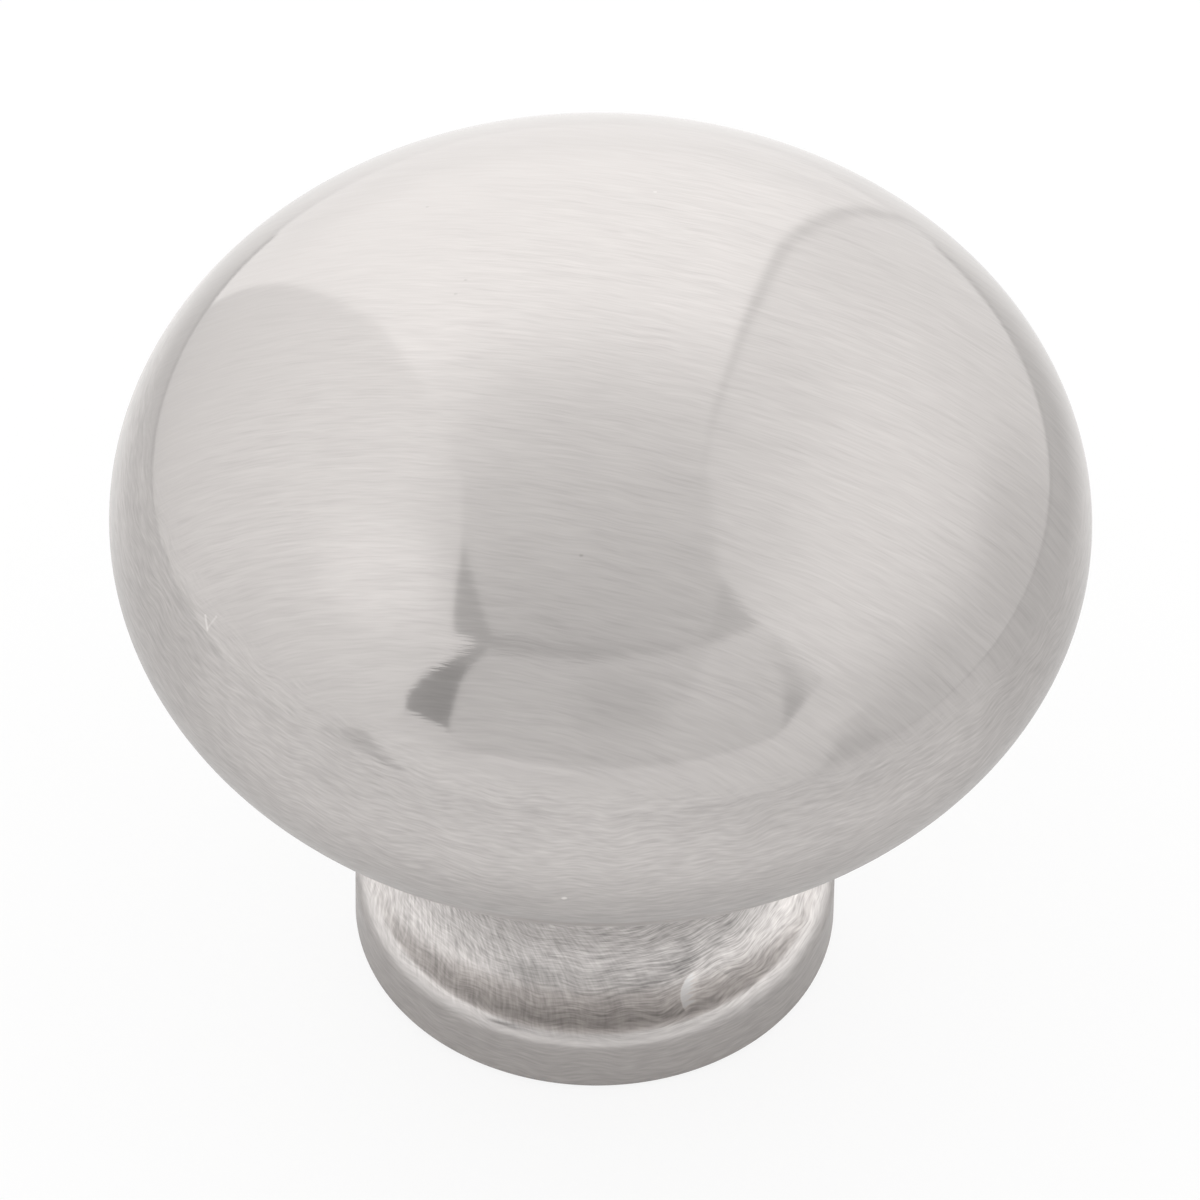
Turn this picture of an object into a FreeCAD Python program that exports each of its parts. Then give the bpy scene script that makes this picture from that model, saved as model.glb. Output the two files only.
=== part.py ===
import FreeCAD, Part
import math
import os
import Sketcher

os.makedirs("parts", exist_ok=True)

# Cabinet knob, cast in one piece: a domed cap on a waisted neck with a flared foot.
# The foot's flat back is on z = 0, against the cabinet face, and the knob's axis is +Z.

doc = FreeCAD.newDocument("CabinetKnob")

# Driving sizes, in millimetres and degrees. The stem, the underside and the dome stand on
# each other along the axis, and together they give the projection of 28.575.
sizes = doc.addObject("Spreadsheet::Sheet", "Sizes")
rows = [
    ("cap_diameter", 31.75, "across the cap at its widest"),
    ("stem_height", 9.675, "from the cabinet face up to where the underside would close"),
    ("belly_rise", 9.2, "from where the underside would close up to the widest ring"),
    ("dome_rise", 9.7, "from the widest ring up to the top of the dome"),
    ("belly_cove_radius", 2.4, "hollow between the underside of the cap and the neck"),
    ("waist_diameter", 10.0, "across the neck at its narrowest"),
    ("waist_height", 7.6, "from the cabinet face up to the narrowest ring"),
    ("waist_bow_radius", 12.0, "long hollow curve of the neck"),
    ("foot_cove_radius", 2.4, "hollow where the neck flares into the foot"),
    ("foot_diameter", 15.9, "across the foot"),
    ("foot_wall_height", 1.85, "from the cabinet face to the start of the rim's round"),
    ("rim_round_radius", 0.7, "round on the foot's upper edge"),
    ("seat_round_radius", 0.4, "round on the foot's lower edge"),
    ("tap_drill_diameter", 3.454, "bore before threading for a number 8, 32 per inch screw"),
    ("screw_hole_depth", 12.0, "full bore, without the drill point"),
    ("drill_point_angle", 118.0, "whole angle of the drill point"),
    ("countersink_diameter", 4.8, "lead-in at the mouth of the hole"),
    ("countersink_angle", 90.0, "whole angle of the lead-in"),
]
size = {}
for number, (alias, value, note) in enumerate(rows, start=1):
    sizes.set(f"A{number}", alias)
    sizes.set(f"B{number}", str(value))
    sizes.set(f"C{number}", note)
    sizes.setAlias(f"B{number}", alias)
    size[alias] = value
doc.recompute()


# Ends of a sketch line or arc, and the sketch's own origin and upright axis
START, END, CENTRE = 1, 2, 3
ORIGIN = (-1, 1)
UPRIGHT = -2


def sketch_on(body, name, role):
    plane = next(item for item in body.Origin.OriginFeatures if item.Role == role)
    sketch = body.newObject("Sketcher::SketchObject", name)
    sketch.AttachmentSupport = [(plane, "")]
    sketch.MapMode = "FlatFace"
    return sketch


def join(sketch, kind, *where):
    return sketch.addConstraint(Sketcher.Constraint(kind, *where))


def dimension(sketch, name, expression, kind, *where):
    index = join(sketch, kind, *where, sketch.evalExpression(expression))
    sketch.renameConstraint(index, name)
    sketch.setExpression(f"Constraints.{name}", expression)


def point(x, y):
    return FreeCAD.Vector(x, y, 0)


def line(x1, y1, x2, y2):
    return Part.LineSegment(point(x1, y1), point(x2, y2))


def arc(x, y, radius, first, last):
    circle = Part.Circle(point(x, y), FreeCAD.Vector(0, 0, 1), radius)
    return Part.ArcOfCircle(circle, math.radians(first), math.radians(last))


def lower_oval(centre_y, reach, drop, first):
    oval = Part.Ellipse(point(0, centre_y), reach, drop)
    return Part.ArcOfEllipse(oval, math.radians(first), 0)


def quarter_oval(low, high, reach):
    # Exact quarter of an oval: three poles at the corners of its box, the middle one at the
    # weight of a right angle. It ends on the axis, where an oval's own arc would leave an open tip.
    quarter = Part.BSplineCurve()
    poles = [point(reach, low), point(reach, high), point(0, high)]
    quarter.buildFromPolesMultsKnots(poles, [3, 3], [0, 1], False, 2, [1, math.sqrt(0.5), 1])
    return quarter


def draw_profile(sketch):
    # Half section in the plane of the axis, from the back of the foot up to the dome.
    # First positions only need to be near enough for the constraints to settle.
    stem = size["stem_height"]
    widest = stem + size["belly_rise"]
    top = widest + size["dome_rise"]
    cap = size["cap_diameter"] / 2
    waist = size["waist_diameter"] / 2
    foot = size["foot_diameter"] / 2
    wall_top = size["foot_wall_height"]
    rim = size["rim_round_radius"]
    seat = size["seat_round_radius"]
    cove = size["foot_cove_radius"]
    bow = size["waist_bow_radius"]
    hollow = size["belly_cove_radius"]

    flare = waist + cove - (foot - rim)
    cove_y = wall_top + math.sqrt((cove + rim) ** 2 - flare**2)
    shapes = [
        line(0, 0, foot - seat, 0),
        arc(foot - seat, seat, seat, -90, 0),
        line(foot, seat, foot, wall_top),
        arc(foot - rim, wall_top, rim, 0, 80),
        arc(waist + cove, cove_y, cove, 195, 260),
        arc(waist + bow, size["waist_height"], bow, 175, 195),
        arc(waist + hollow, stem - hollow / 2, hollow, 105, 175),
        lower_oval(widest, cap, size["belly_rise"], -60),
        quarter_oval(widest, top, cap),
        line(0, top, 0, 0),
    ]
    return [sketch.addGeometry(shape) for shape in shapes]


def hold_profile(sketch, outline):
    back, seat, wall, rim, cove, bow, hollow, belly, dome, axis = outline

    # Rounds and hollows keep their radii from the start, so none closes up while they are joined
    dimension(sketch, "seat_radius", "Sizes.seat_round_radius", "Radius", seat)
    dimension(sketch, "rim_radius", "Sizes.rim_round_radius", "Radius", rim)
    dimension(sketch, "cove_radius", "Sizes.foot_cove_radius", "Radius", cove)
    dimension(sketch, "bow_radius", "Sizes.waist_bow_radius", "Radius", bow)
    dimension(sketch, "hollow_radius", "Sizes.belly_cove_radius", "Radius", hollow)

    # Foot
    join(sketch, "Coincident", back, START, *ORIGIN)
    join(sketch, "Horizontal", back)
    join(sketch, "Vertical", wall)
    dimension(sketch, "foot_reach", "Sizes.foot_diameter / 2", "DistanceX", *ORIGIN, wall, END)
    dimension(sketch, "wall_top", "Sizes.foot_wall_height", "DistanceY", *ORIGIN, wall, END)
    join(sketch, "Tangent", back, END, seat, START)
    join(sketch, "Tangent", seat, END, wall, START)
    join(sketch, "Tangent", wall, END, rim, START)

    # Neck
    dimension(sketch, "bow_reach", "Sizes.waist_diameter / 2 + Sizes.waist_bow_radius",
              "DistanceX", *ORIGIN, bow, CENTRE)
    dimension(sketch, "bow_height", "Sizes.waist_height", "DistanceY", *ORIGIN, bow, CENTRE)
    join(sketch, "Tangent", rim, END, cove, END)
    join(sketch, "Tangent", cove, START, bow, END)

    # Cap: the underside's oval keeps its own level and upright axes as construction lines
    belly_level = sketch.GeometryCount
    belly_upright = belly_level + 1
    sketch.exposeInternalGeometry(belly)
    join(sketch, "Horizontal", belly_level)
    join(sketch, "PointOnObject", belly, CENTRE, UPRIGHT)
    join(sketch, "Horizontal", belly, CENTRE, belly, END)
    dimension(sketch, "widest_ring", "Sizes.stem_height + Sizes.belly_rise",
              "DistanceY", *ORIGIN, belly, CENTRE)
    dimension(sketch, "cap_across", "Sizes.cap_diameter", "Distance", belly_level)
    dimension(sketch, "belly_along", "2 * Sizes.belly_rise", "Distance", belly_upright)
    join(sketch, "Tangent", bow, START, hollow, END)
    join(sketch, "Tangent", hollow, START, belly, START)

    # The dome's three poles stand at the widest ring, over it, and on the axis
    ring_pole = sketch.GeometryCount
    corner_pole = ring_pole + 1
    top_pole = ring_pole + 2
    sketch.exposeInternalGeometry(dome)
    join(sketch, "Vertical", ring_pole, CENTRE, corner_pole, CENTRE)
    join(sketch, "Horizontal", corner_pole, CENTRE, top_pole, CENTRE)
    dimension(sketch, "corner_weight", "sqrt(0.5)", "Weight", corner_pole)
    join(sketch, "Coincident", belly, END, dome, START)
    join(sketch, "Coincident", dome, END, axis, START)
    join(sketch, "Coincident", axis, END, *ORIGIN)
    join(sketch, "Vertical", axis)
    dimension(sketch, "top_of_dome", "Sizes.stem_height + Sizes.belly_rise + Sizes.dome_rise",
              "DistanceY", *ORIGIN, axis, START)


def turn_cap_neck_and_foot(body):
    profile = sketch_on(body, "HalfSection", "XZ_Plane")
    hold_profile(profile, draw_profile(profile))
    turned = body.newObject("PartDesign::Revolution", "CapNeckAndFoot")
    turned.Profile = profile
    turned.ReferenceAxis = (profile, ["V_Axis"])
    turned.Angle = 360
    doc.recompute()
    return turned


def drill_screw_hole(body, turned):
    # Blind, up the axis from the back of the foot, with a lead-in and a drill point
    centre = sketch_on(body, "ScrewHoleCentre", "XY_Plane")
    bore = centre.addGeometry(Part.Circle(point(0, 0), FreeCAD.Vector(0, 0, 1), 1))
    join(centre, "Coincident", bore, CENTRE, *ORIGIN)
    dimension(centre, "bore_across", "Sizes.tap_drill_diameter", "Diameter", bore)
    doc.recompute()
    hole = body.newObject("PartDesign::Hole", "ScrewHole")
    hole.Profile = centre
    hole.Reversed = True
    hole.DepthType = "Dimension"
    hole.DrillPoint = "Angled"
    hole.HoleCutType = "Countersink"
    hole.setExpression("Diameter", "Sizes.tap_drill_diameter")
    hole.setExpression("Depth", "Sizes.screw_hole_depth")
    hole.setExpression("DrillPointAngle", "Sizes.drill_point_angle")
    hole.setExpression("HoleCutDiameter", "Sizes.countersink_diameter")
    hole.setExpression("HoleCutCountersinkAngle", "Sizes.countersink_angle")
    doc.recompute()
    if hole.Shape.Volume >= turned.Shape.Volume:
        raise RuntimeError("the screw hole cuts nothing")
    return hole


knob = doc.addObject("PartDesign::Body", "Knob")
knob.Label = "knob"
turned = turn_cap_neck_and_foot(knob)
drill_screw_hole(knob, turned)
doc.recompute()

for item in doc.Objects:
    if "Invalid" in item.State or "Error" in item.State:
        raise RuntimeError(f"{item.Name} did not build: {item.State}")
pieces = [knob]
for piece in pieces:
    if piece.Shape.isNull() or not piece.Shape.isValid():
        raise RuntimeError(f"{piece.Label} is not a valid solid")
for piece in pieces:
    piece.Shape.exportStep(f"parts/{piece.Label}.step")
    print(piece.Label, len(piece.Shape.Solids), "solid", round(piece.Shape.Volume, 2), "mm3")
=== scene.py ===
import math
import bpy
from mathutils import Matrix, Vector


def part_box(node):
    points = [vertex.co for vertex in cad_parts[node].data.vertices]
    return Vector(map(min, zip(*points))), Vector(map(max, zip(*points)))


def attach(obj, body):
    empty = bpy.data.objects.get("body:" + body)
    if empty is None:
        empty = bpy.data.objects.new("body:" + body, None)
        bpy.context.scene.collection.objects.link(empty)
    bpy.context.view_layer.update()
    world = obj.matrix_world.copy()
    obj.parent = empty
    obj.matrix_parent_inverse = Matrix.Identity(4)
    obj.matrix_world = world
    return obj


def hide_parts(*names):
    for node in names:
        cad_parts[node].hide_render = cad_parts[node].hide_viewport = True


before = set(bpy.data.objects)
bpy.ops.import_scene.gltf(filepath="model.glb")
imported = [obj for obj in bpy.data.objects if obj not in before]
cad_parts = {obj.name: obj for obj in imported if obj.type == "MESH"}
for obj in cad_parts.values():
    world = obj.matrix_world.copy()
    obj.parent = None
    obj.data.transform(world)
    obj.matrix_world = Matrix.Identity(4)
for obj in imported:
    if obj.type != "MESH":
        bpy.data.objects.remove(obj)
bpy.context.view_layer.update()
mm = 0.001


# shader nodes written as plain expressions

class Wire:
    def __init__(self, net, socket):
        self.net = net
        self.socket = socket

    def __add__(self, other):
        return self.net.maths("ADD", self, other)

    def __radd__(self, other):
        return self.net.maths("ADD", other, self)

    def __sub__(self, other):
        return self.net.maths("SUBTRACT", self, other)

    def __rsub__(self, other):
        return self.net.maths("SUBTRACT", other, self)

    def __mul__(self, other):
        return self.net.maths("MULTIPLY", self, other)

    def __rmul__(self, other):
        return self.net.maths("MULTIPLY", other, self)

    def out(self, name):
        return Wire(self.net, self.socket.node.outputs[name])


class Net:
    def __init__(self, owner):
        owner.use_nodes = True
        self.tree = owner.node_tree
        self.tree.nodes.clear()

    def node(self, kind, settings, inputs):
        made = self.tree.nodes.new("ShaderNode" + kind)
        for name, value in settings.items():
            setattr(made, name, value)
        for name, value in inputs.items():
            if isinstance(value, Wire):
                self.tree.links.new(value.socket, made.inputs[name])
            else:
                made.inputs[name].default_value = value
        outputs = [socket for socket in made.outputs if socket.enabled]
        return Wire(self, outputs[0]) if outputs else None

    def maths(self, operation, *values):
        return self.node("Math", {"operation": operation}, dict(enumerate(values)))

    def vector(self, operation, *values):
        return self.node("VectorMath", {"operation": operation}, dict(enumerate(values)))

    def along(self, point, direction):
        return self.vector("DOT_PRODUCT", point, direction).out("Value")

    def reach(self, point, centre):
        return self.vector("DISTANCE", point, centre).out("Value")

    def scaled(self, vector, factor):
        return self.node("VectorMath", {"operation": "SCALE"}, {0: vector, "Scale": factor})

    def near(self, toward, azimuth, elevation, start, end):
        return self.rise(self.along(toward, direction(azimuth, elevation)), start, end)

    def join(self, x, y, z):
        return self.node("CombineXYZ", {}, {"X": x, "Y": y, "Z": z})

    def rise(self, value, start, end):
        return self.node("MapRange", {"interpolation_type": "SMOOTHSTEP"},
                         {"Value": value, "From Min": start, "From Max": end})

    def noise(self, place, detail, roughness):
        return self.node("TexNoise", {"noise_dimensions": "3D"},
                         {"Vector": place, "Scale": 1, "Detail": detail, "Roughness": roughness})

    # 1 on the side of every edge where the inside direction is, 0 beyond, for a direction out
    # of the tent's centre
    def cover(self, toward, edges, inside, soft):
        mask = 1
        for edge in edges:
            points = [direction(*point) for point in edge] + [Vector((0, 0, 0))]
            side = (points[1] - points[0]).cross(points[2] - points[0]).normalized()
            level = side.dot(points[0])
            if side.dot(direction(*inside)) < level:
                side, level = -side, -level
            mask = mask * self.rise(self.along(toward, side), level - soft, level + soft)
        return mask


def deselectAll():
    bpy.ops.object.select_all(action="DESELECT")


# camera

cameraSettings = {
    "distance": 450 * mm,
    "elevation": 46.05,     # degrees above the floor
    "roll": 0.9,            # the knob leans a little clockwise in the frame
    "aimHeight": 15.0 * mm,
    "aimSide": 0.02 * mm,
    "lens": 415.35,
    "sensor": 36,
}


def makeCamera(s):
    bpy.ops.object.camera_add()
    camera = bpy.context.object
    camera.name = "photoCamera"
    tilt = math.radians(s["elevation"])
    back = Vector((0, -math.cos(tilt), math.sin(tilt)))
    aim = Vector((s["aimSide"], 0, s["aimHeight"]))
    turn = (-back).to_track_quat("-Z", "Y").to_matrix().to_4x4()
    roll = Matrix.Rotation(math.radians(s["roll"]), 4, "Z")
    camera.matrix_world = Matrix.Translation(aim + back * s["distance"]) @ turn @ roll
    camera.data.lens = s["lens"]
    camera.data.sensor_width = s["sensor"]
    camera.data.clip_start = 0.01
    camera.data.clip_end = 10
    bpy.context.scene.camera = camera


makeCamera(cameraSettings)
print("camera ready")


# light tent round the knob, which the camera itself doesn't see: cloth panels with dark seams
# between them. Azimuths run from the camera's side to the right, elevations up. Each edge of a
# panel is the circle through two or three such directions, and the inside says which side of it
# is cloth. The glow is given for a direction d, with x to the right, y to the back and z up.

tentSettings = {
    "radius": 900 * mm,
    "centre": Vector((0, 0, 24 * mm)),
    "softEdge": 0.006,
}

tentPanels = {
    "roof": {
        "inside": (0, 89),
        "edges": [((-38, 60), (0, 64.2), (39, 59.4)), ((-72, 68.1), (-41, 60.3)),
                  ((41, 59.8), (66, 68.4))],
        "glow": lambda net, d, x, y, z: 0.83 - 0.05 * x + 0.30 * y - 0.03 * z,
    },
    "back": {
        "inside": (180, 10), "softEdge": 0.03,
        "edges": [((125, 0), (125, 40)), ((-125, 0), (-125, 40)), ((90, 76), (180, 76), (270, 76))],
        "glow": lambda net, d, x, y, z: (1.42 - 0.55 * net.rise(z, 0.66, 1.0)
                                         - 0.16 * net.rise(y, 0.84, 0.94)
                                         * (1 - net.rise(z, -0.08, 0.16))),
    },
    "left": {
        "inside": (-100, 20),
        "edges": [((-188, 0), (-98, 69)), ((-79.5, 67.6), (-50.2, 55.4)),
                  ((-125, 65.8), (-141, 57)), ((-141, 57), (-147.4, 42)),
                  ((-149.6, 22), (-150, -5)), ((-44.8, 27), (-41.3, 56.4))],
        "glow": lambda net, d, x, y, z: (0.89 - 0.06 * x + 0.08 * y + 0.24 * z
                                         - 0.12 * net.rise(z, 0.84, 0.93)
                                         + 0.16 * net.near(d, -82, 52, 0.965, 0.997)
                                         - 0.05 * net.near(d, -70, 18, 0.88, 0.98)),
    },
    "leftTip": {
        "inside": (-46, 52),
        "edges": [((-53, 55.4), (-41, 56.4)), ((-46.7, 39), (-41.4, 56)), ((-54, 40), (-54, 60)),
                  ((-56, 44), (-40, 44))],
        "glow": lambda net, d, x, y, z: 0.92 + 0.22 * z,
    },
    "gap": {
        "inside": (-43, 38),
        "edges": [((-44.8, 26.5), (-46.7, 32)), ((-46.7, 32), (-46.7, 39)), ((-46.7, 39), (-41.4, 56)),
                  ((-33, 20), (-33, 60)), ((-50, 56.8), (-30, 56.8))],
        "glow": lambda net, d, x, y, z: 0.10 + 0.30 * net.rise(z, 0.70, 0.84),
    },
    "rightSeam": {
        "inside": (100, 20),
        "edges": [((13, 0), (103, 74)), ((59.4, 62), (67.4, 68.8)), ((55.2, 50.2), (59.4, 62)),
                  ((54.2, 35), (55.2, 50.2)), ((139, 69.6), (151.5, 60.8)),
                  ((151.5, 60.8), (159.5, 43.4)), ((159.5, 43.4), (163, 22)), ((163, 22), (163, -5))],
        "glow": lambda net, d, x, y, z: 0.86,
    },
    "right": {
        "inside": (100, 20),
        "edges": [((13, 0), (103, 72.7)), ((60, 61.2), (68, 68)), ((55.5, 50), (60, 61.2)),
                  ((54.5, 35), (55.5, 50)), ((138, 68.5), (150, 60)), ((150, 60), (158, 43)),
                  ((158, 43), (161.5, 22)), ((161.5, 22), (161.5, -5))],
        "glow": lambda net, d, x, y, z: (0.82 + 0.33 * y + net.rise(z, 0.1, 0.7) * (0.30 - 0.22 * y)
                                         - 0.14 * net.rise(z, 0.80, 0.95)
                                         - 0.12 * net.near(d, 112, 3, 0.93, 0.995)
                                         + 0.07 * net.near(d, 57, 8, 0.95, 0.995)
                                         - 0.08 * net.near(d, 152, 54, 0.95, 0.99)),
    },
    "frontLow": {
        "inside": (0, 5),
        "edges": [((-60, 24), (0, 24), (60, 24)), ((-44.6, 27), (-50, 3)), ((57, 0), (57, 30))],
        "glow": lambda net, d, x, y, z: 0.90 - 0.07 * x + 0.10 * z - 0.10 * net.rise(x, 0.72, 0.85),
    },
    "frontLeftEar": {
        "inside": (-40, 24),
        "edges": [((-60, 27.3), (0, 27.3), (60, 27.3)), ((-44.6, 27), (-50, 3)),
                  ((-36.5, 28), (-29.5, 22)), ((-50, 18), (-20, 18))],
        "glow": lambda net, d, x, y, z: 0.86,
    },
    "frontRightEar": {
        "inside": (50, 24),
        "edges": [((41, 23), (50, 30)), ((50, 30), (58, 32)), ((38, 24), (40, 10)),
                  ((36, 15), (60, 15)), ((60, 10), (60, 40))],
        "glow": lambda net, d, x, y, z: 0.92,
    },
    "front": {
        "inside": (0, 40),
        "edges": [((-37, 56.4), (-38.2, 46)), ((-38.2, 46), (-34, 25.5)),
                  ((-37, 56), (3, 59.9), (42, 58)),
                  ((-60, 21.2), (0, 21.2), (60, 21.2)), ((-35.5, 27.5), (-29.5, 22)),
                  ((40, 21.5), (54, 31)), ((57, 20), (57, 60))],
        "glow": lambda net, d, x, y, z: (0.69 + 0.10 * z
                                         - 0.12 * net.near(d, 5, 46, 0.978, 0.999)
                                         + 0.30 * (z - 0.42)
                                         * net.cover(d, [((11, 26), (37, 56))], (35, 35), 0.03)),
    },
    "rightWedge": {
        "inside": (47, 30), "softEdge": 0.015,
        "edges": [((42, 23.5), (51, 30.5)), ((51, 29.5), (54, 42)), ((41.5, 23), (45.5, 33)),
                  ((45.5, 33), (53, 48))],
        "glow": lambda net, d, x, y, z: 0.42 + 0.30 * net.rise(z, 0.48, 0.72),
    },
    "leftSmudge": {
        "inside": (-50, 4), "softEdge": 0.02,
        "edges": [((-58, 3), (-51, 12)), ((-51, 12), (-39, 1.5)), ((-60, 1.2), (-40, 1.2))],
        "glow": lambda net, d, x, y, z: 0.62,
    },
    "rightSmudge": {
        "inside": (53, 4), "softEdge": 0.04,
        "edges": [((46, -1), (53, 11)), ((53, 11), (62, -1)), ((45, -2), (62, -2))],
        "glow": lambda net, d, x, y, z: 0.60,
    },
}


def direction(azimuth, elevation):
    a, e = math.radians(azimuth), math.radians(elevation)
    return Vector((math.sin(a) * math.cos(e), -math.cos(a) * math.cos(e), math.sin(e)))


# the seams are less dark high up and on the right
def seamGlow(net, x, z):
    return 0.22 + 0.20 * net.rise(z, 0.70, 0.86) + 0.16 * net.rise(x, -0.45, 0.25)


def makeTent(s, panels):
    deselectAll()
    bpy.ops.mesh.primitive_uv_sphere_add(segments=128, ring_count=64, radius=s["radius"],
                                         location=s["centre"])
    tent = bpy.context.object
    tent.name = "lightTent"
    bpy.ops.object.transform_apply(location=True)
    bpy.ops.object.shade_smooth()
    cloth = bpy.data.materials.new("tentCloth")
    net = Net(cloth)
    place = net.node("TexCoord", {}, {}).out("Object")
    d = net.vector("NORMALIZE", net.vector("SUBTRACT", place, s["centre"]))
    axes = net.node("SeparateXYZ", {}, {0: d})
    x, y, z = axes.out("X"), axes.out("Y"), axes.out("Z")
    level = seamGlow(net, x, z)
    for panel in panels.values():
        cover = net.cover(d, panel["edges"], panel["inside"], panel.get("softEdge", s["softEdge"]))
        level = level + cover * (panel["glow"](net, d, x, y, z) - level)
    light = net.node("Emission", {}, {"Color": (1, 1, 1, 1), "Strength": level})
    net.node("OutputMaterial", {}, {"Surface": light})
    cloth.cycles.emission_sampling = "NONE"     # it surrounds everything, so it is found anyway
    tent.data.materials.append(cloth)
    tent.visible_camera = False


makeTent(tentSettings, tentPanels)
print("tent ready:", len(tentPanels), "panels")


# floor paper, white to the camera, with the knob's soft shadow on it

floorSettings = {
    "radius": 300 * mm,
    "centre": (0, -200 * mm, 0),
    "colour": (0.82, 0.82, 0.82),
    "rightDim": 0.17,       # how much darker the paper is beside the knob
    "leftDim": 0.09,
    "white": 1.06,
    "shadow": 0.2,          # how much of the real shading the camera sees
    "frontLight": 0.13,     # light through the paper from below, in front of the knob
    "backLight": 0.34,      # and behind it
    "creaseHeight": 3 * mm,
    "creaseLight": 0.57,
    "creaseEnd": 152,       # azimuth on both sides where it stops
}


def makeFloor(s):
    deselectAll()
    bpy.ops.mesh.primitive_circle_add(vertices=128, radius=s["radius"], fill_type="NGON",
                                      location=s["centre"])
    floor = bpy.context.object
    floor.name = "studioFloor"
    bpy.ops.object.transform_apply(location=True)
    paper = bpy.data.materials.new("whitePaper")
    net = Net(paper)
    camera = net.node("LightPath", {}, {}).out("Is Camera Ray")
    place = net.node("TexCoord", {}, {}).out("Object")
    axes = net.node("SeparateXYZ", {}, {0: place})
    x, y = axes.out("X"), axes.out("Y")
    dimmed = (1 - s["rightDim"] * net.rise(x, 5 * mm, 50 * mm)
              - s["leftDim"] * net.rise(-1 * x, 5 * mm, 50 * mm))
    shaded = net.scaled(s["colour"], dimmed)
    matte = net.node("BsdfDiffuse", {}, {"Color": shaded})
    even = net.node("BsdfDiffuse", {}, {"Color": (*s["colour"], 1)})
    contact = net.rise(net.reach(place, (0, 0, 0)), 12 * mm, 38 * mm)
    through = (s["frontLight"] * contact * (1 - net.rise(y, -16 * mm, 0))
               + s["backLight"] * net.rise(y, 6 * mm, 30 * mm)
               * (1 - net.rise(net.maths("ABSOLUTE", x), 20 * mm, 60 * mm)))
    lit = net.node("AddShader", {}, {0: matte, 1: net.node("Emission", {}, {"Strength": through})})
    white = net.node("Emission", {}, {"Strength": s["white"]})
    seen = net.node("MixShader", {}, {0: s["shadow"], 1: white, 2: even})
    net.node("OutputMaterial", {}, {"Surface": net.node("MixShader", {}, {0: camera, 1: lit, 2: seen})})
    paper.cycles.emission_sampling = "NONE"
    floor.data.materials.append(paper)


def makeCrease(s):
    # where the paper meets the cloth, left out at the back, where the paper runs on
    deselectAll()
    bpy.ops.mesh.primitive_cylinder_add(vertices=128, radius=s["radius"], depth=s["creaseHeight"],
                                        end_fill_type="NOTHING", location=s["centre"])
    crease = bpy.context.object
    crease.name = "studioCrease"
    bpy.ops.object.transform_apply(location=True)
    bpy.ops.object.mode_set(mode="EDIT")
    bpy.ops.mesh.select_mode(type="FACE")
    bpy.ops.mesh.select_all(action="SELECT")
    bpy.ops.transform.translate(value=(0, 0, s["creaseHeight"] / 2))
    bpy.ops.object.mode_set(mode="OBJECT")
    for face in crease.data.polygons:
        azimuth = math.degrees(math.atan2(face.center.x, -face.center.y))
        face.select = abs(azimuth) > s["creaseEnd"]
    bpy.ops.object.mode_set(mode="EDIT")
    bpy.ops.mesh.delete(type="FACE")
    bpy.ops.object.mode_set(mode="OBJECT")
    shade = bpy.data.materials.new("creaseShade")
    net = Net(shade)
    light = net.node("Emission", {}, {"Strength": s["creaseLight"]})
    net.node("OutputMaterial", {}, {"Surface": light})
    shade.cycles.emission_sampling = "NONE"
    crease.data.materials.append(shade)
    crease.visible_camera = False


def makeWorld():
    world = bpy.data.worlds.new("studioWorld")
    bpy.context.scene.world = world
    net = Net(world)
    sky = net.node("Background", {}, {"Strength": 1})
    net.node("OutputWorld", {}, {"Surface": sky})


makeFloor(floorSettings)
makeCrease(floorSettings)
makeWorld()
bpy.context.scene.view_settings.view_transform = "Standard"
print("floor and backdrop ready")


# knob body

knobSettings = {
    "domeRise": 9.7 * mm,
    "bellyRise": 9.2 * mm,
    "bellyCove": 2.4 * mm,
    "waist": 5.0 * mm,
    "waistHeight": 7.6 * mm,
    "waistBow": 12.0 * mm,
    "footCove": 2.4 * mm,
    "foot": 7.95 * mm,
    "footWall": 1.85 * mm,
    "rimRound": 0.7 * mm,
    "seatRound": 0.4 * mm,
    "bore": 1.727 * mm,
    "boreDepth": 12.0 * mm,
    "drillPoint": 59,       # degrees from the axis
    "leadIn": 2.4 * mm,
    "turns": 256,
}


def arcPoints(centre, radius, first, last, steps):
    for step in range(steps + 1):
        a = math.radians(first + (last - first) * step / steps)
        yield centre[0] + radius * math.cos(a), centre[1] + radius * math.sin(a)


def bearing(start, end):
    return math.degrees(math.atan2(end[1] - start[1], end[0] - start[0]))


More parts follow.
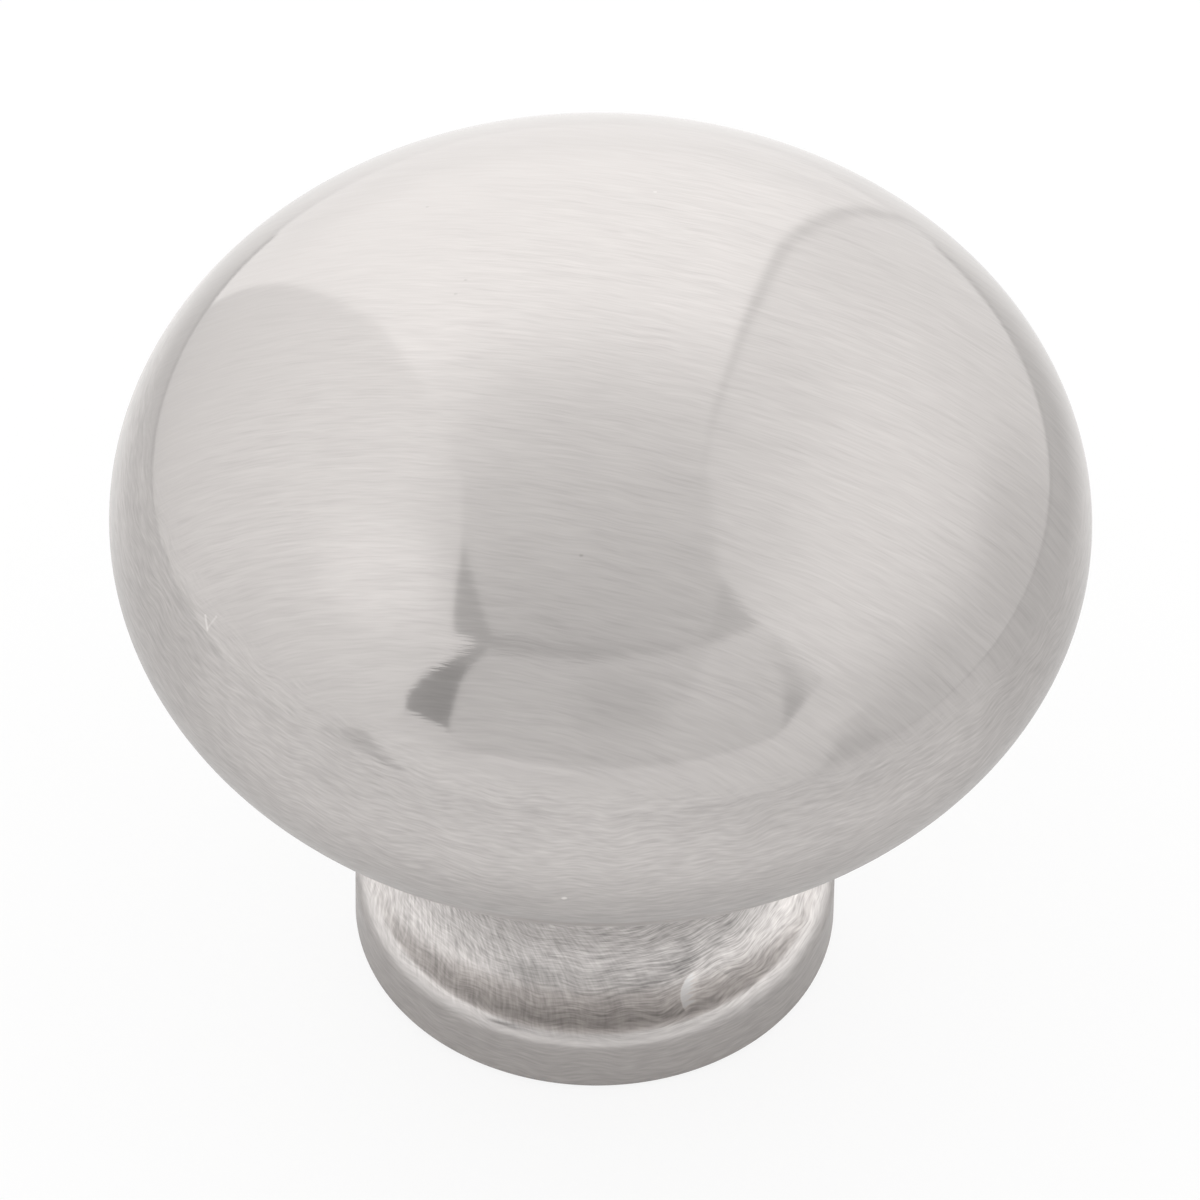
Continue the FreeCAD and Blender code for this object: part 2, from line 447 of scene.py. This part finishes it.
def knobSection(s):
    low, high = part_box("knob")
    cap = (high.x - low.x) / 2
    widest = high.z - s["domeRise"]
    bow = (s["waist"] + s["waistBow"], s["waistHeight"])
    rim = (s["foot"] - s["rimRound"], s["footWall"])

    def belly(t):
        return cap * math.cos(t), widest - s["bellyRise"] * math.sin(t)

    # hollow under the cap: rolls down inside the neck's long bow until it touches the underside
    def gapAt(height):
        reach = s["waistBow"] - s["bellyCove"]
        centre = (bow[0] - math.sqrt(reach ** 2 - (height - bow[1]) ** 2), height)
        start, end = math.radians(40), math.radians(88)
        for _ in range(50):
            a, b = start + (end - start) / 3, end - (end - start) / 3
            if math.dist(belly(a), centre) < math.dist(belly(b), centre):
                end = b
            else:
                start = a
        return math.dist(belly(start), centre), centre, start
    bottom, top = s["waistHeight"], widest - s["bellyRise"] / 2
    for _ in range(40):
        gap, hollow, touch = gapAt((bottom + top) / 2)
        if gap > s["bellyCove"]:
            bottom = hollow[1]
        else:
            top = hollow[1]

    # cove above the foot: touches the rim's round and the neck's bow, so its centre is where
    # two circles cross
    r1, r2 = s["footCove"] + s["rimRound"], s["waistBow"] - s["footCove"]
    apart = math.dist(rim, bow)
    along = (r1 ** 2 - r2 ** 2 + apart ** 2) / (2 * apart)
    off = math.sqrt(r1 ** 2 - along ** 2)
    ux, uz = (bow[0] - rim[0]) / apart, (bow[1] - rim[1]) / apart
    cove = (rim[0] + along * ux - off * uz, rim[1] + along * uz + off * ux)

    points = [(0, s["boreDepth"] + s["bore"] / math.tan(math.radians(s["drillPoint"]))),
              (s["bore"], s["boreDepth"]),
              (s["bore"], s["leadIn"] - s["bore"]),
              (s["leadIn"], 0)]
    flat = s["foot"] - s["seatRound"]
    points += [(s["leadIn"] + (flat - s["leadIn"]) * n / 6, 0) for n in range(1, 6)]
    points += arcPoints((flat, s["seatRound"]), s["seatRound"], -90, 0, 8)
    wall = s["footWall"] - s["seatRound"]
    points += [(s["foot"], s["seatRound"] + wall * n / 5) for n in range(1, 5)]
    points += arcPoints(rim, s["rimRound"], 0, bearing(rim, cove), 10)
    coveEnd, bowEnd = bearing(bow, cove) % 360, bearing(bow, hollow) % 360
    points += list(arcPoints(cove, s["footCove"], bearing(cove, rim), coveEnd - 360, 14))[1:]
    points += list(arcPoints(bow, s["waistBow"], coveEnd, bowEnd, 10))[1:]
    points += list(arcPoints(hollow, s["bellyCove"], bowEnd, bearing(hollow, belly(touch)), 12))[1:]
    points += [belly(touch * (1 - n / 40)) for n in range(1, 41)]
    for n in range(1, 57):
        t = math.radians(90) * n / 56
        points.append((cap * math.cos(t) if n < 56 else 0, widest + s["domeRise"] * math.sin(t)))
    return points


def spinSection(name, points, turns):
    deselectAll()
    bpy.ops.mesh.primitive_plane_add(size=1 * mm, location=(points[0][0], 0, points[0][1]))
    body = bpy.context.object
    body.name = name
    bpy.ops.object.transform_apply(location=True)
    bpy.ops.object.mode_set(mode="EDIT")
    bpy.ops.mesh.select_mode(type="VERT")
    bpy.ops.mesh.select_all(action="SELECT")
    bpy.ops.mesh.merge(type="CENTER")
    for (x, z), (nextX, nextZ) in zip(points, points[1:]):
        bpy.ops.mesh.extrude_vertices_move(TRANSFORM_OT_translate={"value": (nextX - x, 0, nextZ - z)})
    bpy.ops.mesh.select_all(action="SELECT")
    bpy.ops.mesh.spin(steps=turns, angle=math.tau, center=(0, 0, 0), axis=(0, 0, 1))
    bpy.ops.mesh.select_all(action="SELECT")
    bpy.ops.mesh.remove_doubles(threshold=0.0005 * mm)
    bpy.ops.mesh.normals_make_consistent(inside=False)
    bpy.ops.object.mode_set(mode="OBJECT")
    bpy.ops.object.shade_smooth_by_angle(angle=math.radians(30))
    return body


sectionPoints = knobSection(knobSettings)
knobBody = spinSection("knobBody", sectionPoints, knobSettings["turns"])
print("knob body turned:", len(sectionPoints), "points,", len(knobBody.data.polygons), "faces")


# thread tapped into the screw hole

threadSettings = {
    "pitch": 0.794 * mm,
    "outside": 2.083 * mm,
    "crestFlat": 0.1,       # of the pitch, left between two turns of the groove
    "rootFlat": 0.2,        # of the pitch, at the groove's bottom
    "start": -0.6 * mm,
    "end": 10.4 * mm,
    "steps": 48,
}


def tapThread(body, s, bore):
    deselectAll()
    inside = bore - 0.02 * mm
    bpy.ops.mesh.primitive_plane_add(size=1, rotation=(math.radians(90), 0, 0))
    tap = bpy.context.object
    tap.name = "threadTap"
    tap.scale = (s["outside"] - inside, (1 - s["crestFlat"]) * s["pitch"], 1)
    tap.location = ((s["outside"] + inside) / 2, 0, s["start"])
    bpy.ops.object.transform_apply(location=True, rotation=True, scale=True)
    bpy.ops.object.mode_set(mode="EDIT")
    bpy.ops.mesh.select_mode(type="VERT")
    bpy.ops.object.mode_set(mode="OBJECT")
    for corner in tap.data.vertices:
        corner.select = corner.co.x > (s["outside"] + inside) / 2
    bpy.ops.object.mode_set(mode="EDIT")
    bpy.ops.transform.resize(value=(1, 1, s["rootFlat"] / (1 - s["crestFlat"])),
                             center_override=(s["outside"], 0, s["start"]))
    bpy.ops.mesh.select_all(action="SELECT")
    bpy.ops.mesh.delete(type="ONLY_FACE")
    bpy.ops.object.mode_set(mode="OBJECT")
    rounds = (s["end"] - s["start"]) / s["pitch"]
    coil = tap.modifiers.new("coil", "SCREW")
    coil.axis = "Z"
    coil.angle = math.tau * rounds
    coil.screw_offset = s["pitch"] * rounds
    coil.steps = coil.render_steps = int(s["steps"] * rounds)
    coil.use_merge_vertices = False
    bpy.ops.object.modifier_apply(modifier=coil.name)
    bpy.ops.object.mode_set(mode="EDIT")
    bpy.ops.mesh.select_all(action="SELECT")
    bpy.ops.mesh.fill_holes(sides=4)
    bpy.ops.mesh.select_all(action="SELECT")
    bpy.ops.mesh.normals_make_consistent(inside=False)
    bpy.ops.object.mode_set(mode="OBJECT")

    deselectAll()
    body.select_set(True)
    bpy.context.view_layer.objects.active = body
    cut = body.modifiers.new("thread", "BOOLEAN")
    cut.operation = "DIFFERENCE"
    cut.solver = "EXACT"
    cut.object = tap
    bpy.ops.object.modifier_apply(modifier=cut.name)
    bpy.ops.object.shade_smooth_by_angle(angle=math.radians(30))
    deselectAll()
    tap.select_set(True)
    bpy.ops.object.delete()


tapThread(knobBody, threadSettings, knobSettings["bore"])
print("thread tapped:", len(knobBody.data.polygons), "faces")


# satin nickel: two gloss lobes, brushed straight over the dome and round everything below it.
# Lengths in the material are in mm. Strokes are given per mm, across the strokes and along them.

nickelSettings = {
    "colour": (0.626, 0.597, 0.580),
    "sharpRoughness": 0.07,
    "neckRoughness": 0.25,
    "softRoughness": 0.40,
    "softShare": 0.5,
    "softDirection": 0.7,
    "brushAzimuth": 11.2,       # across the dome's brush lines, from the back towards the right
    "brushTilt": 8.2,
    "waver": 0.7,
    "domeFine": (15, 0.8),
    "domeBroad": (5, 0.35),
    "domePatches": (0.9, 0.35),
    "roundFine": (11, 1.4),
    "roundBroad": (4, 0.5),
    "neckShort": (17, 1.5),
    "neckSlant": (14, 1.6),
    "domeTone": 0.5,            # how strongly the grain lightens and darkens the metal
    "beltTone": 0.7,
    "neckTone": 1.6,
    "domeDepth": 0.004 * mm,
    "beltDepth": 0.004 * mm,
    "neckDepth": 0.006 * mm,
    "wornShare": 0.55,          # of the grain, worn away at the back on the left
    "scoreTone": 0.16,          # thin dark strokes in bundles
    "changeHeight": 3.0,        # above the widest ring, where the brushing changes over
    "changeSlope": -0.0625,
    "neckTop": 10.0,            # above the cabinet
    "footTop": 2.6,
    "neckShade": 0.05,
    # painted light in the neck's cove and on its right side, painted shade on its left side
    "coveLight": 0.18,
    "rightLight": 0.09,
    "leftShade": 0.05,
    # painted shade at the top of the neck and on the underside close to it
    "recessShade": 0.4,         # at the top of the neck, close under the cap
    # painted highlight in the cove: its centre, its size and how light it is
    "paintedGlint": (3.93, -6.15, 2.75),
    "paintedGlintRadius": 1.06,
    "paintedGlintLight": 0.8,
}


# scratches and spots: both ends, where the mark starts and stops fading, and how light it is
nickelMarks = [
    ((-12.48, -8.01, 22.31), (-12.40, -8.39, 22.06), (0.02, 0.07), 1.25),
    ((-12.38, -8.35, 22.10), (-12.12, -8.27, 22.54), (0.02, 0.07), 1.15),
    ((-0.98, -15.72, 17.70), (-0.94, -15.72, 17.72), (0.03, 0.10), 1.45),
    ((1.56, 5.87, 27.79), (1.60, 5.87, 27.79), (0.02, 0.08), 1.3),
    ((-0.61, -9.34, 26.67), (-0.57, -9.34, 26.67), (0.02, 0.08), 0.75),
    ((-4.43, 1.40, 28.11), (-4.40, 1.40, 28.11), (0.02, 0.08), 0.8),
    ((-4.74, 0.79, 28.08), (-4.70, 0.79, 28.08), (0.02, 0.08), 0.8),
    ((-5.73, 5.62, 27.20), (-5.70, 5.62, 27.20), (0.02, 0.08), 0.8),
    # the last, broad one darkens a band across the front of the cove, beside the pale patch
    ((0.60, -6.60, 2.82), (3.20, -5.10, 3.28), (0.05, 0.45), 0.80),
]


def brushLines(s):
    turn, tilt = math.radians(s["brushAzimuth"]), math.radians(s["brushTilt"])
    across = Vector((math.sin(turn) * math.cos(tilt), math.cos(turn) * math.cos(tilt), math.sin(tilt)))
    lines = Vector((math.cos(turn), -math.sin(turn), 0))
    return across, lines, across.cross(lines)


def markTone(net, place, start, end, fade, light):
    start, end = Vector(start), Vector(end)
    line = end - start
    share = net.node("Math", {"operation": "MULTIPLY", "use_clamp": True}, {
        0: net.along(net.vector("SUBTRACT", place, start), line), 1: 1 / line.length_squared})
    nearest = net.vector("ADD", net.scaled(line, share), start)
    return (light - 1) * (1 - net.rise(net.reach(place, nearest), *fade))


def satinNickel(s, marks):
    nickel = bpy.data.materials.new("satinNickel")
    net = Net(nickel)
    place = net.scaled(net.node("TexCoord", {}, {}).out("Object"), 1 / mm)
    axes = net.node("SeparateXYZ", {}, {0: place})
    x, y, z = axes.out("X"), axes.out("Y"), axes.out("Z")
    radius = net.vector("LENGTH", net.join(x, y, 0)).out("Value")
    bend = s["waver"]
    waver = 0.5 * net.noise(net.join(bend * x, bend * y, bend * z), 0, 0.5)

    # straight brush strokes over the dome, in finer and broader bundles
    across, lines, rest = brushLines(s)
    a, b, c = net.along(place, across), net.along(place, lines), net.along(place, rest)

    def straight(rates, side, detail, roughness):
        return net.noise(net.join(rates[0] * side, rates[1] * b, rates[1] * c), detail, roughness)
    fine = straight(s["domeFine"], a + 0.3 * waver, 1, 0.6)
    broad = straight(s["domeBroad"], a + 0.3 * waver, 2, 0.65)
    patches = straight(s["domePatches"], a, 1, 0.5)
    worn = 1 - s["wornShare"] * net.rise(y - 0.8 * x, 3, 11)
    scores = net.rise(fine, 0.56, 0.72) * net.rise(patches, 0.40, 0.62)
    bundles = (0.45 * (fine - 0.5) + 0.40 * (broad - 0.5)) * (0.3 + 1.4 * patches)
    dome = (bundles - s["scoreTone"] * scores) * worn

    # brushed round the axis below, more roughly on the neck, where strokes also cross
    ring = z - 0.4 * radius + waver

    def turned(rates, detail, roughness):
        return net.noise(net.join(rates[1] * x, rates[1] * y, rates[0] * ring), detail, roughness)
    fineRound = turned(s["roundFine"], 1, 0.6)
    broadRound = turned(s["roundBroad"], 2, 0.65)
    belt = 0.60 * (fineRound - 0.5) + 0.25 * (broadRound - 0.5)
    short = turned(s["neckShort"], 1, 0.65)
    many, few = s["neckSlant"]
    crossing = net.join(many * (0.6 * x + 0.5 * z - 0.1 * y), few * (0.6 * x - 0.8 * z), few * y)
    slant = net.noise(crossing, 1, 0.65)
    slanted = 0.55 - 0.4 * net.rise(x, -3, 2)
    rough = (1 - slanted) * (short - 0.5) + slanted * (slant - 0.5)

    widest = (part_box("knob")[1].z - knobSettings["domeRise"]) / mm
    height = z - widest - s["changeHeight"] - s["changeSlope"] * x
    below = 1 - net.rise(height + 1.2 * (broad - 0.5), -0.6, 0.6)
    neck = ((1 - net.rise(z, s["neckTop"] - 0.5, s["neckTop"] + 0.5))
            * net.rise(z, s["footTop"] - 0.5, s["footTop"]))
    lower = belt + neck * (rough - belt)
    grain = dome + below * (lower - dome)

    def zone(name):
        low, mid, high = s["neck" + name], s["belt" + name], s["dome" + name]
        return high + (mid - high) * below + (low - mid) * neck

    # painted light makes the neck paler in its cove and on the right, and painted shade makes it darker
    # on the left and under the cap
    sides = s["rightLight"] * net.rise(x, 3, 7) - s["leftShade"] * net.rise(-1 * x, 3, 7)
    cove = s["coveLight"] * (1 - net.rise(z, 2.8, 3.3))
    recess = net.rise(z, 6.5, 9) * (1 - net.rise(z, 12, 14)) * (1 - net.rise(radius, 6, 7.5))

    # painted highlight, a reflection of a light panel's edge, in the cove at the front right: pale,
    # with a sharp left edge that curves round it
    rim = s["paintedGlintRadius"]
    paintedGlint = ((1 - net.rise(net.reach(place, s["paintedGlint"]), rim - 0.04, rim + 0.03))
             * net.rise(y - 0.93 * x, -9.65, -9.25) * (1 - 0.8 * net.rise(x, 2.95, 3.55)))
    shade = (1 + zone("Tone") * grain + neck * (sides + cove - s["neckShade"])
             - s["recessShade"] * recess + s["paintedGlintLight"] * paintedGlint)
    for mark in marks:
        shade = shade + markTone(net, place, *mark)
    colour = net.scaled(s["colour"], shade)
    bump = net.node("Bump", {}, {"Strength": 1, "Distance": 1, "Height": grain * zone("Depth")})

    def gloss(roughness, directional, tangent):
        return net.node("BsdfPrincipled", {}, {
            "Base Color": colour, "Metallic": 1, "Roughness": roughness,
            "Anisotropic": directional, "Tangent": net.join(*tangent), "Normal": bump})
    sharpRoughness = s["sharpRoughness"] + (s["neckRoughness"] - s["sharpRoughness"]) * neck
    sharp = gloss(sharpRoughness + 0.08 * grain, 0.0, across)
    softDome = gloss(s["softRoughness"] + 0.1 * grain, s["softDirection"], across)
    softTurned = gloss(s["softRoughness"] + 0.1 * grain, s["softDirection"], (0, 0, 1))
    soft = net.node("MixShader", {}, {0: below, 1: softDome, 2: softTurned})
    both = net.node("MixShader", {}, {0: s["softShare"], 1: sharp, 2: soft})
    net.node("OutputMaterial", {}, {"Surface": both})
    return nickel


knobBody.data.materials.append(satinNickel(nickelSettings, nickelMarks))
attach(knobBody, "root")
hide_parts("knob")
print("satin nickel applied")
